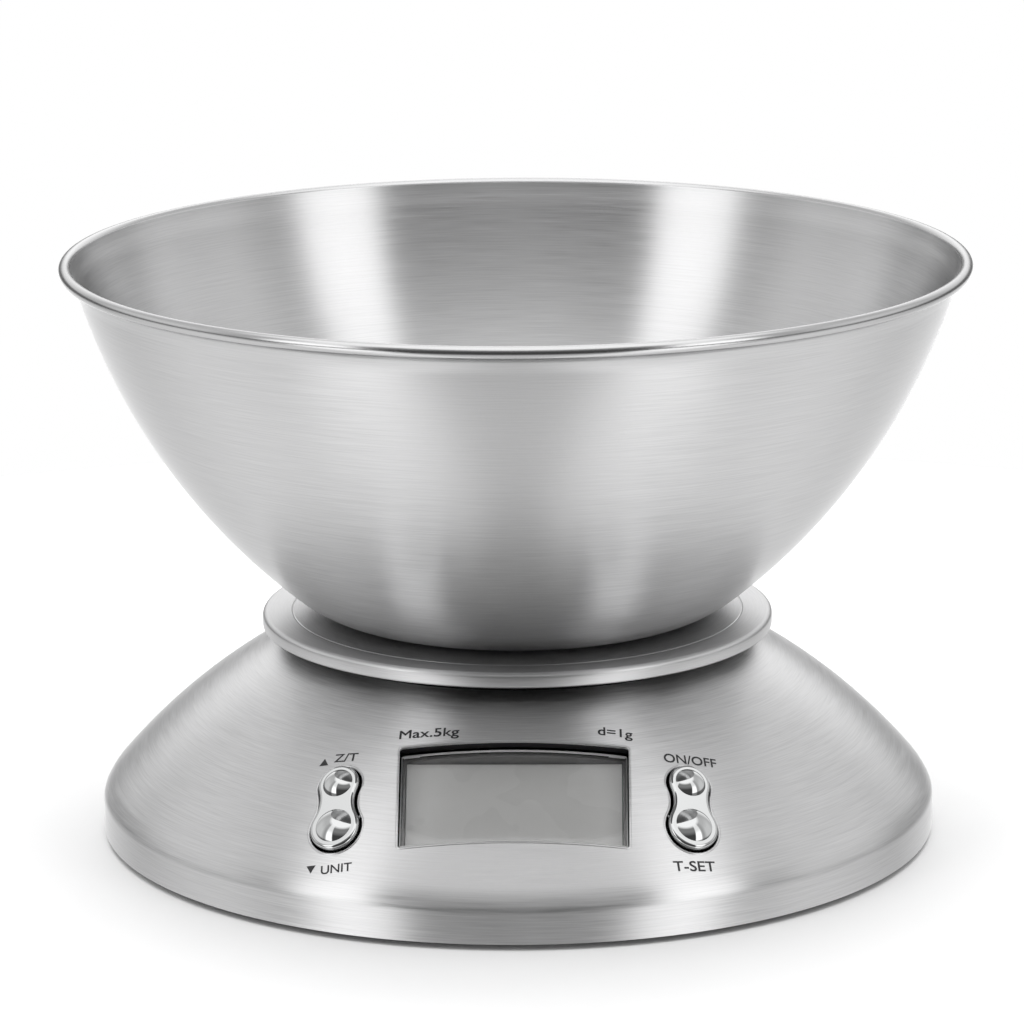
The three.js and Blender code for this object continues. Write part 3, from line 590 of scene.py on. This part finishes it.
def finish(name, color, roughness, metallic=0.0, grain=0.0, grain_size=0.4, spread=0.0, coat=0.0):
    """A finish with an even colour, or one that varies by `spread`, and a grain in its surface."""
    material, tree, shader = new_material(name)
    shader.inputs["Metallic"].default_value = metallic
    shader.inputs["Coat Weight"].default_value = coat
    place = add_node(tree, "ShaderNodeTexCoord").outputs["Object"]
    cloud = noise(tree, place, CLOUDS_PER_METRE, 2.0)
    ramp = add_node(tree, "ShaderNodeValToRGB")
    ramp.color_ramp.elements[0].color = (*[c * (1 - spread) for c in color], 1)
    ramp.color_ramp.elements[1].color = (*[min(1, c * (1 + spread)) for c in color], 1)
    tree.links.new(cloud, ramp.inputs["Fac"])
    tree.links.new(ramp.outputs["Color"], shader.inputs["Base Color"])
    tree.links.new(number_range(tree, cloud, roughness * 0.85, roughness * 1.15, NOISE_MIDDLE),
                   shader.inputs["Roughness"])
    if grain:
        speckle = noise(tree, place, 1 / (grain_size * MM), 3.0)
        add_bump(tree, shader, speckle, grain, GRAIN_HEIGHT)
    return material


chrome = finish("button_chrome", (0.55, 0.556, 0.556), 0.035, 1.0, grain=0.02, grain_size=3.0)
black_abs = finish("black_abs", (0.012, 0.012, 0.013), 0.5, grain=0.5, grain_size=0.25, spread=0.2)
rubber = finish("foot_rubber", (0.02, 0.02, 0.021), 0.85, grain=0.4, grain_size=0.6, spread=0.3)
aluminium = finish("cell_aluminium", (0.55, 0.56, 0.57), 0.36, 1.0, grain=0.3, grain_size=0.5,
                   spread=0.08)
plated = finish("plated_steel", (0.5, 0.51, 0.52), 0.25, 1.0, grain=0.1, grain_size=0.5, spread=0.12)
board = finish("circuit_board", (0.02, 0.11, 0.05), 0.35, grain=0.2, grain_size=1.2, spread=0.25,
               coat=0.4)
epoxy = finish("epoxy", (0.01, 0.01, 0.01), 0.4, grain=0.3, grain_size=0.5, spread=0.2)
white_guide = finish("white_plastic", (0.8, 0.8, 0.77), 0.45, grain=0.2, grain_size=0.6, spread=0.03)
sleeve = finish("battery_wrap", (0.03, 0.03, 0.035), 0.3, grain=0.1, grain_size=1.0, spread=0.3,
                coat=0.5)
red_wire = finish("red_wire", (0.4, 0.02, 0.02), 0.4, grain=0.1, spread=0.1)
grey_wire = finish("grey_wire", (0.12, 0.12, 0.12), 0.45, grain=0.1, spread=0.1)
print("finishes:", len(bpy.data.materials))

# %% [markdown]
# ## The rocker buttons
# Each button is a flat plate with a soft edge and a dome on each lobe, where a finger presses. The
# plate is the outline extruded, with its top edge bevelled. A dome is the cap of a sphere, cut off
# below the plate's face and joined to it. The frame's plungers and hinge lug stay under it.

# %% Buttons
BUTTON_RISE, BUTTON_DEPTH, BUTTON_ROUND = 1.2 * MM, 3.0 * MM, 0.8 * MM
DOMES = {"upper": 3.6 * MM, "lower": 4.3 * MM}
DOME_HEIGHT, DOME_SINK = 1.35 * MM, 0.5 * MM


def dome(name, centre_y, radius):
    """A spherical cap on the button's face, closed underneath."""
    ball = (radius**2 + DOME_HEIGHT**2) / (2 * DOME_HEIGHT)
    middle = Vector((0, centre_y, BUTTON_RISE + DOME_HEIGHT - ball))
    low = math.asin((ball - DOME_HEIGHT - DOME_SINK) / ball)
    outline = [(0, ball * math.sin(low)), *arc((0, 0), ball, low, math.pi / 2, 16)]
    bm = spin([(max(r, 0), z) for r, z in outline], 48)
    bmesh.ops.translate(bm, verts=bm.verts, vec=middle)
    return piece(name, bm)


def round_off(bm, edges, radius, segments):
    bmesh.ops.bevel(bm, geom=edges, offset=radius, offset_type="OFFSET", segments=segments,
                    profile=0.5, affect="EDGES", material=-1)


def rocker(name, place):
    bm = prism(button_outline(0, 14), -BUTTON_DEPTH, BUTTON_RISE, Matrix())
    rim = [e for e in bm.edges if all(v.co.z > 0 for v in e.verts)]
    round_off(bm, rim, BUTTON_ROUND, 6)
    plate = piece(name, bm)
    domes = [dome(f"{name}_{lobe}", LOBES[lobe][0], radius) for lobe, radius in DOMES.items()]
    boolean(plate, "UNION", *domes, sharp=20)
    plate.data.transform(place)
    weighted = plate.modifiers.new("face_normals", "WEIGHTED_NORMAL")
    weighted.keep_sharp = True
    return plate


for side, place in button_frames.items():
    dress(rocker(f"{side}_rocker", place), chrome, f"{side}_button", "button_chrome",
          f"{side}_button")

# %% [markdown]
# ## The window and the display
# The window is a clear moulding that follows the dome but lies a little flatter, so it starts flush
# at the lower edge and sinks in towards the top. It starts as a grid, is slid onto the dome, leaned
# back and given its thickness. Clear plastic is mixed from see-through and gloss. The gloss is a few
# per cent straight on and rises steeply at a grazing angle, as it does on any clear plastic.

# %% Window
LENS_GAP, LENS_DEPTH, LENS_THICK = 0.3 * MM, 0.4 * MM, 1.2 * MM
LENS_LEAN = math.radians(5.0)
LENS_ROUND = 0.55 * MM
RIM_TURN = 1.0  # the lens's faces meet at a right angle at the rim, and at next to none elsewhere
RIM_FACING = 0.88  # a face of the lens that faces out less than this belongs to its cut edge
lens_width, lens_height = WINDOW_WIDTH - 2 * LENS_GAP, WINDOW_HEIGHT - 2 * LENS_GAP


def window_lens():
    bm = bmesh.new()
    bmesh.ops.create_grid(bm, x_segments=48, y_segments=24, size=0.5)
    bmesh.ops.scale(bm, verts=bm.verts, vec=(lens_width, lens_height, 1))
    normal = window_frame.to_3x3().col[2]
    for vert in bm.verts:
        sink = LENS_DEPTH + math.tan(LENS_LEAN) * (vert.co.y + WINDOW_HEIGHT / 2)
        vert.co = onto_casing(window_frame @ vert.co, normal) - normal * sink
    lower = bmesh.ops.extrude_face_region(bm, geom=bm.faces[:])
    moved = [v for v in lower["geom"] if isinstance(v, bmesh.types.BMVert)]
    bmesh.ops.translate(bm, verts=moved, vec=-normal * LENS_THICK)
    bmesh.ops.recalc_face_normals(bm, faces=bm.faces)
    rim = [e for e in bm.edges if e.is_manifold and e.calc_face_angle() > RIM_TURN]
    round_off(bm, rim, LENS_ROUND, 4)
    return piece("clear_window", bm, 50)


CLEAR_TINT, CLEAR_ROUGH = 0.94, 0.02
STRAIGHT_ON, STEEPNESS = 0.04, 5.0  # share of light mirrored straight on, and how it rises


def clear_plastic():
    material, tree, shader = new_material("display_acrylic")
    tree.nodes.remove(shader)
    see = add_node(tree, "ShaderNodeBsdfTransparent")
    see.inputs["Color"].default_value = (CLEAR_TINT, CLEAR_TINT, CLEAR_TINT, 1)
    gloss = add_node(tree, "ShaderNodeBsdfGlossy")
    gloss.inputs["Color"].default_value = (1, 1, 1, 1)
    gloss.inputs["Roughness"].default_value = CLEAR_ROUGH
    graze = add_node(tree, "ShaderNodeLayerWeight")
    graze.inputs["Blend"].default_value = 0.5
    steep = add_node(tree, "ShaderNodeMath", operation="POWER")
    tree.links.new(graze.outputs["Facing"], steep.inputs[0])
    steep.inputs[1].default_value = STEEPNESS
    mix = add_node(tree, "ShaderNodeMixShader")
    mirrored = number_range(tree, steep.outputs["Value"], STRAIGHT_ON, 1.0)
    tree.links.new(mirrored, mix.inputs["Fac"])
    tree.links.new(see.outputs["BSDF"], mix.inputs[1])
    tree.links.new(gloss.outputs["BSDF"], mix.inputs[2])
    tree.links.new(mix.outputs["Shader"], tree.nodes["Material Output"].inputs["Surface"])
    return material


acrylic = clear_plastic()
cut_edge = finish("acrylic_cut_edge", (0.8, 0.8, 0.8), 0.3)
lens = window_lens()
dress(lens, acrylic, "base", "display_acrylic", "display_window")
lens.data.materials.append(cut_edge)
facing = window_frame.to_3x3().col[2]
for face in lens.data.polygons:
    if abs(face.normal.dot(facing)) < RIM_FACING:
        face.material_index = 1

# %% [markdown]
# ## Printed labels
# The labels are screen printed, so they have no height to speak of. Each is a flat text made into a
# mesh, laid along its own base line and slid onto the steel. They say only what the keys do and
# what the scale can weigh.

# %% Labels
HEAVIER = 0.018  # how much the strokes grow to each side, as a share of the text's size


def glyphs(text):
    """A flat mesh of a text, with its left end at the origin and its base line on X."""
    curve = bpy.data.curves.new(text, "FONT")
    curve.body = text
    curve.resolution_u = 4
    source = bpy.data.objects.new("label_source", curve)
    bpy.context.scene.collection.objects.link(source)
    graph = bpy.context.evaluated_depsgraph_get()
    mesh = bpy.data.meshes.new_from_object(source.evaluated_get(graph))
    bpy.data.objects.remove(source)
    bm = bmesh.new()
    bm.from_mesh(mesh)
    bmesh.ops.remove_doubles(bm, verts=bm.verts, dist=1e-5)
    embolden(bm, HEAVIER)
    return bm


def embolden(bm, by):
    """Moves the outline of flat faces outwards."""
    push = {}
    for edge in bm.edges:
        if edge.is_boundary:
            first, second = edge.verts
            along = (second.co - first.co).normalized()
            out = Vector((along.y, -along.x, 0))
            if out.dot(edge.link_faces[0].calc_center_median() - first.co) > 0:
                out = -out
            for vert in edge.verts:
                push.setdefault(vert, []).append(out)
    for vert, outs in push.items():
        total = sum(outs, Vector((0, 0, 0)))
        vert.co += total.normalized() * by


def triangle(points_up):
    """A key's arrow head, one unit high, standing on X."""
    bm = bmesh.new()
    low, high = (0, 1) if points_up else (1, 0)
    bm.faces.new([bm.verts.new(corner) for corner in ((0, low, 0), (1, low, 0), (0.5, high, 0))])
    return bm


PRINT_LIFT = 0.03 * MM


def on_dome(x, radius):
    """The point of the dome at a distance across and a distance from the axis."""
    up = math.sqrt(CONE_RADIUS**2 - (radius - cone_centre[0]) ** 2)
    return Vector((x, -math.sqrt(radius**2 - x**2), cone_centre[1] + up))


def print_on(name, bm, left, right, height):
    """Lays a flat shape between two points of its base line, each (x, radius) in mm."""
    start, end = (on_dome(x * MM, radius * MM) for x, radius in (left, right))
    bmesh.ops.triangulate(bm, faces=bm.faces)
    first, last = min(v.co.x for v in bm.verts), max(v.co.x for v in bm.verts)
    wide = (end - start).length / (last - first)
    tall = height * MM / max(v.co.y for v in bm.verts)
    normal = casing_normal((start + end) / 2)
    place = local_frame(start, normal, end - start)
    for vert in bm.verts:
        flat = place @ Vector(((vert.co.x - first) * wide, vert.co.y * tall, 0))
        vert.co = onto_casing(flat, normal, PRINT_LIFT)
    for face in bm.faces:
        face.normal_update()
        if face.normal.dot(normal) < 0:
            face.normal_flip()
    dress(piece(name, bm), ink, "base", "casing_steel")


ink = finish("label_ink", (0.028, 0.028, 0.03), 0.6, spread=0.1)
print_on("label_max", glyphs("Max.5kg"), (-26.4, 69.8), (-12.6, 67.7), 2.5)
print_on("label_division", glyphs("d=1g"), (19.1, 68.0), (27.1, 69.8), 2.45)
print_on("label_zero_tare", glyphs("Z/T"), (-41.4, 77.1), (-36.0, 75.9), 2.3)
print_on("label_up", triangle(True), (-44.8, 78.5), (-42.7, 77.9), 2.0)
print_on("label_unit", glyphs("UNIT"), (-43.6, 97.6), (-36.5, 96.3), 2.1)
print_on("label_down", triangle(False), (-47.0, 97.9), (-44.9, 97.5), 1.9)
print_on("label_on_off", glyphs("ON/OFF"), (34.3, 76.0), (46.4, 79.2), 2.5)
print_on("label_timer", glyphs("T-SET"), (36.2, 96.4), (45.7, 97.4), 2.5)

# %% [markdown]
# ## The load cell
# The weight goes into an aluminium beam, held at one end and loaded at the other. Two round holes
# joined by a slot leave thin walls that bend, and the scale reads that bend. The beam is an extruded
# outline with its holes cut.

# %% Load cell
cell_low, cell_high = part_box("load_cell")
cell_middle = (cell_low + cell_high) / 2
cell_size = cell_high - cell_low
GAUGE_RADIUS, GAUGE_AT, SLOT_HALF = 4.6 * MM, 7.0 * MM, 1.5 * MM
BOLT_RADIUS, BOLT_AT, BOLT_DEPTH = 2.2 * MM, (26.0 * MM, 34.0 * MM), 10.0 * MM
CELL_CORNER = 0.6 * MM
on_side = Matrix.Translation(cell_middle) @ Matrix.Rotation(math.pi / 2, 4, "X")


def round_hole(name, x, y, radius, low, high, place):
    outline = arc((x, y), radius, 0, math.tau, 32)[:-1]
    return piece(name, prism(outline, low, high, place))


beam = piece("load_cell_beam", prism(round_rectangle(cell_size.x, cell_size.z, CELL_CORNER, 3, 30),
                                     -cell_size.y / 2, cell_size.y / 2, on_side))
holes = [piece("slot", prism(round_rectangle(2 * GAUGE_AT, 2 * SLOT_HALF, 0.1 * MM, 1, 6),
                             -cell_size.y, cell_size.y, on_side))]
for x in (-GAUGE_AT, GAUGE_AT):
    holes.append(round_hole("gauge_hole", x, 0, GAUGE_RADIUS, -cell_size.y, cell_size.y, on_side))
upright = Matrix.Translation(cell_middle)
for x in BOLT_AT:
    inner, outer = cell_size.z / 2 - BOLT_DEPTH, cell_size.z / 2 + 1 * MM
    holes.append(round_hole("lower_bolt_hole", -x, 0, BOLT_RADIUS, -outer, -inner, upright))
    holes.append(round_hole("upper_bolt_hole", x, 0, BOLT_RADIUS, inner, outer, upright))
boolean(beam, "DIFFERENCE", *holes)
beam.data.materials.clear()
beam.data.materials.append(aluminium)
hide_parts("load_cell")
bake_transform(beam)

# %% [markdown]
# ## Finishes of the parts that stay
# The parts inside and underneath keep the frame's own shapes, because moulded ribs, screws and wires
# are right as they are. Each gets the finish that its record entry names.

# %% Carried-over parts
# The panel's grey is lighter than a real panel's: painted light that stands in for the bright reflection the
# window would show without the bowl above it.
LCD_GREY_PAINTED_LIGHT = (0.7, 0.7, 0.69)
lcd = finish("lcd", LCD_GREY_PAINTED_LIGHT, 0.28, spread=0.04)
slot_finish = {
    "black_abs": black_abs, "lcd": lcd, "white_plastic": white_guide, "circuit_board": board,
    "epoxy": epoxy, "foot_rubber": rubber, "cell_aluminium": aluminium, "plated_steel": plated,
    "battery_wrap": sleeve, "red_wire": red_wire, "grey_wire": grey_wire,
    "casing_steel": casing_steel, "platform_steel": plate_steel, "bowl_steel": bowl_steel,
    "button_chrome": chrome, "display_acrylic": acrylic,
}
for part in frame["record"]["subparts"]:
    obj = nodes[part["node"]]
    obj.data.materials.clear()
    obj.data.materials.append(slot_finish[part["material_slot"]])
nodes["display_frame"].data.materials[0] = finish("display_frame_grey", (0.19, 0.19, 0.19), 0.4)

# %% [markdown]
# ## Camera, floor and light
# The camera is far away with a long lens, a little above the scale and a hair to its right, and it
# looks slightly down. Brushed steel shows whatever stands round it, so the light is built like a
# product studio: dark straight ahead and at the horizon, a tall soft box on each side, a bright
# panel overhead and a pale table below. The camera itself sees plain white behind the scale.

# %% Camera
CAMERA_DISTANCE, CAMERA_HEIGHT = 1.1554, 0.3563 + casing_low.z
CAMERA_SIDE = math.radians(0.75)
CAMERA_DOWN, CAMERA_TURN = math.radians(13.668), math.radians(0.058)
CAMERA_ROLL = math.radians(-0.3)
SENSOR, LENS = 36.0, 174.3

camera_data = bpy.data.cameras.new("camera")
camera_data.sensor_width = SENSOR
camera_data.lens = LENS
camera = bpy.data.objects.new("camera", camera_data)
aim = Matrix.Rotation(CAMERA_SIDE + CAMERA_TURN, 4, "Z")
aim = aim @ Matrix.Rotation(math.pi / 2 - CAMERA_DOWN, 4, "X") @ Matrix.Rotation(CAMERA_ROLL, 4, "Z")
stand = Matrix.Rotation(CAMERA_SIDE, 4, "Z") @ Vector((0, -CAMERA_DISTANCE, CAMERA_HEIGHT))
camera.matrix_world = Matrix.Translation(stand) @ aim
bpy.context.scene.collection.objects.link(camera)
bpy.context.scene.camera = camera
print("camera at", [round(x, 3) for x in camera.location])

# %% Floor
FLOOR_RADIUS = 0.4
floor_mesh = bmesh.new()
bmesh.ops.create_circle(floor_mesh, cap_ends=True, segments=96, radius=FLOOR_RADIUS)
floor = piece("studio_floor", floor_mesh)
floor.visible_glossy = False
floor.data.materials.append(finish("floor_white", (0.92, 0.92, 0.92), 0.9))

# %% Overhead light
OVERHEAD_SIZE, OVERHEAD_WATTS, OVERHEAD_PLACE = 1.6, 12, (0, 0.2, 1.5)
top_light = bpy.data.lights.new("overhead", "AREA")
top_light.shape = "SQUARE"
top_light.size = OVERHEAD_SIZE
top_light.energy = OVERHEAD_WATTS
overhead = bpy.data.objects.new("overhead", top_light)
overhead.location = OVERHEAD_PLACE
overhead.visible_camera = False
overhead.visible_glossy = False
bpy.context.scene.collection.objects.link(overhead)

# %% Surroundings
BRIGHTEST = 2.5
AROUND = [  # degrees away from straight ahead of the display, and brightness there
    (0, 0.08), (33, 0.08), (37, 2.1), (57, 2.1), (62, 0.7), (68, 0.5), (84, 0.95), (110, 0.95),
    (130, 0.75), (180, 0.6),
]
LEAN_OUT = 0.25  # how far the boxes lean outwards as they rise, in radians
# Each band has a brightness, a share, the height of its middle (-1 to 1), and the distances from
# there at which it starts and is full.
BANDS = {
    "horizon": (0.06, 0.85, 0.0, (0.17, 0.1)),
    "sky": (0.6, 0.5, 1.0, (0.55, 0.35)),
    "panel": (1.6, 1.0, 1.0, (0.22, 0.13)),
    "table": (1.1, 0.75, -1.0, (0.75, 0.4)),
}


def studio_world():
    """White for the camera, and for reflections the studio that AROUND and BANDS describe."""
    world = bpy.data.worlds.new("studio")
    world.use_nodes = True
    tree = world.node_tree
    tree.nodes.clear()
    way = add_node(tree, "ShaderNodeTexCoord").outputs["Generated"]
    level = vector_math(tree, "NORMALIZE", vector_math(tree, "MULTIPLY", way, (1, 1, 0)))
    ahead = vector_math(tree, "DOT_PRODUCT", level, (0, -1, 0))
    angle = add_node(tree, "ShaderNodeMath", operation="ARCCOSINE")
    tree.links.new(ahead, angle.inputs[0])
    ramp = add_node(tree, "ShaderNodeValToRGB")
    height = vector_math(tree, "DOT_PRODUCT", way, (0, 0, 1))
    leaned = add_node(tree, "ShaderNodeMath", operation="MULTIPLY_ADD")
    tree.links.new(height, leaned.inputs[0])
    leaned.inputs[1].default_value = -LEAN_OUT
    tree.links.new(angle.outputs["Value"], leaned.inputs[2])
    tree.links.new(number_range(tree, leaned.outputs["Value"], 0, 1, (0, math.pi)), ramp.inputs["Fac"])
    for i, (degrees, bright) in enumerate(AROUND):
        stop = ramp.color_ramp.elements[0] if i == 0 else ramp.color_ramp.elements.new(degrees / 180)
        stop.position = degrees / 180
        stop.color = (bright / BRIGHTEST, bright / BRIGHTEST, bright / BRIGHTEST, 1)
    color = ramp.outputs["Color"]
    for bright, share, middle, reach in BANDS.values():
        apart = add_node(tree, "ShaderNodeMath", operation="SUBTRACT")
        tree.links.new(height, apart.inputs[0])
        apart.inputs[1].default_value = middle
        distance = add_node(tree, "ShaderNodeMath", operation="ABSOLUTE")
        tree.links.new(apart.outputs["Value"], distance.inputs[0])
        band = add_node(tree, "ShaderNodeMix", data_type="RGBA")
        amount = number_range(tree, distance.outputs["Value"], 0, share, reach)
        tree.links.new(amount, band.inputs["Factor"])
        tree.links.new(color, band.inputs["A"])
        band.inputs["B"].default_value = (*[bright / BRIGHTEST] * 3, 1)
        color = band.outputs["Result"]
    studio = add_node(tree, "ShaderNodeBackground")
    studio.inputs["Strength"].default_value = BRIGHTEST
    tree.links.new(color, studio.inputs["Color"])
    white = add_node(tree, "ShaderNodeBackground")
    white.inputs["Color"].default_value = (1, 1, 1, 1)
    seen = add_node(tree, "ShaderNodeLightPath").outputs["Is Camera Ray"]
    mix = add_node(tree, "ShaderNodeMixShader")
    tree.links.new(seen, mix.inputs["Fac"])
    tree.links.new(studio.outputs["Background"], mix.inputs[1])
    tree.links.new(white.outputs["Background"], mix.inputs[2])
    output = add_node(tree, "ShaderNodeOutputWorld")
    tree.links.new(mix.outputs["Shader"], output.inputs["Surface"])
    return world


bpy.context.scene.world = studio_world()
bpy.context.scene.view_settings.view_transform = "Standard"
bpy.context.scene.view_settings.look = "None"
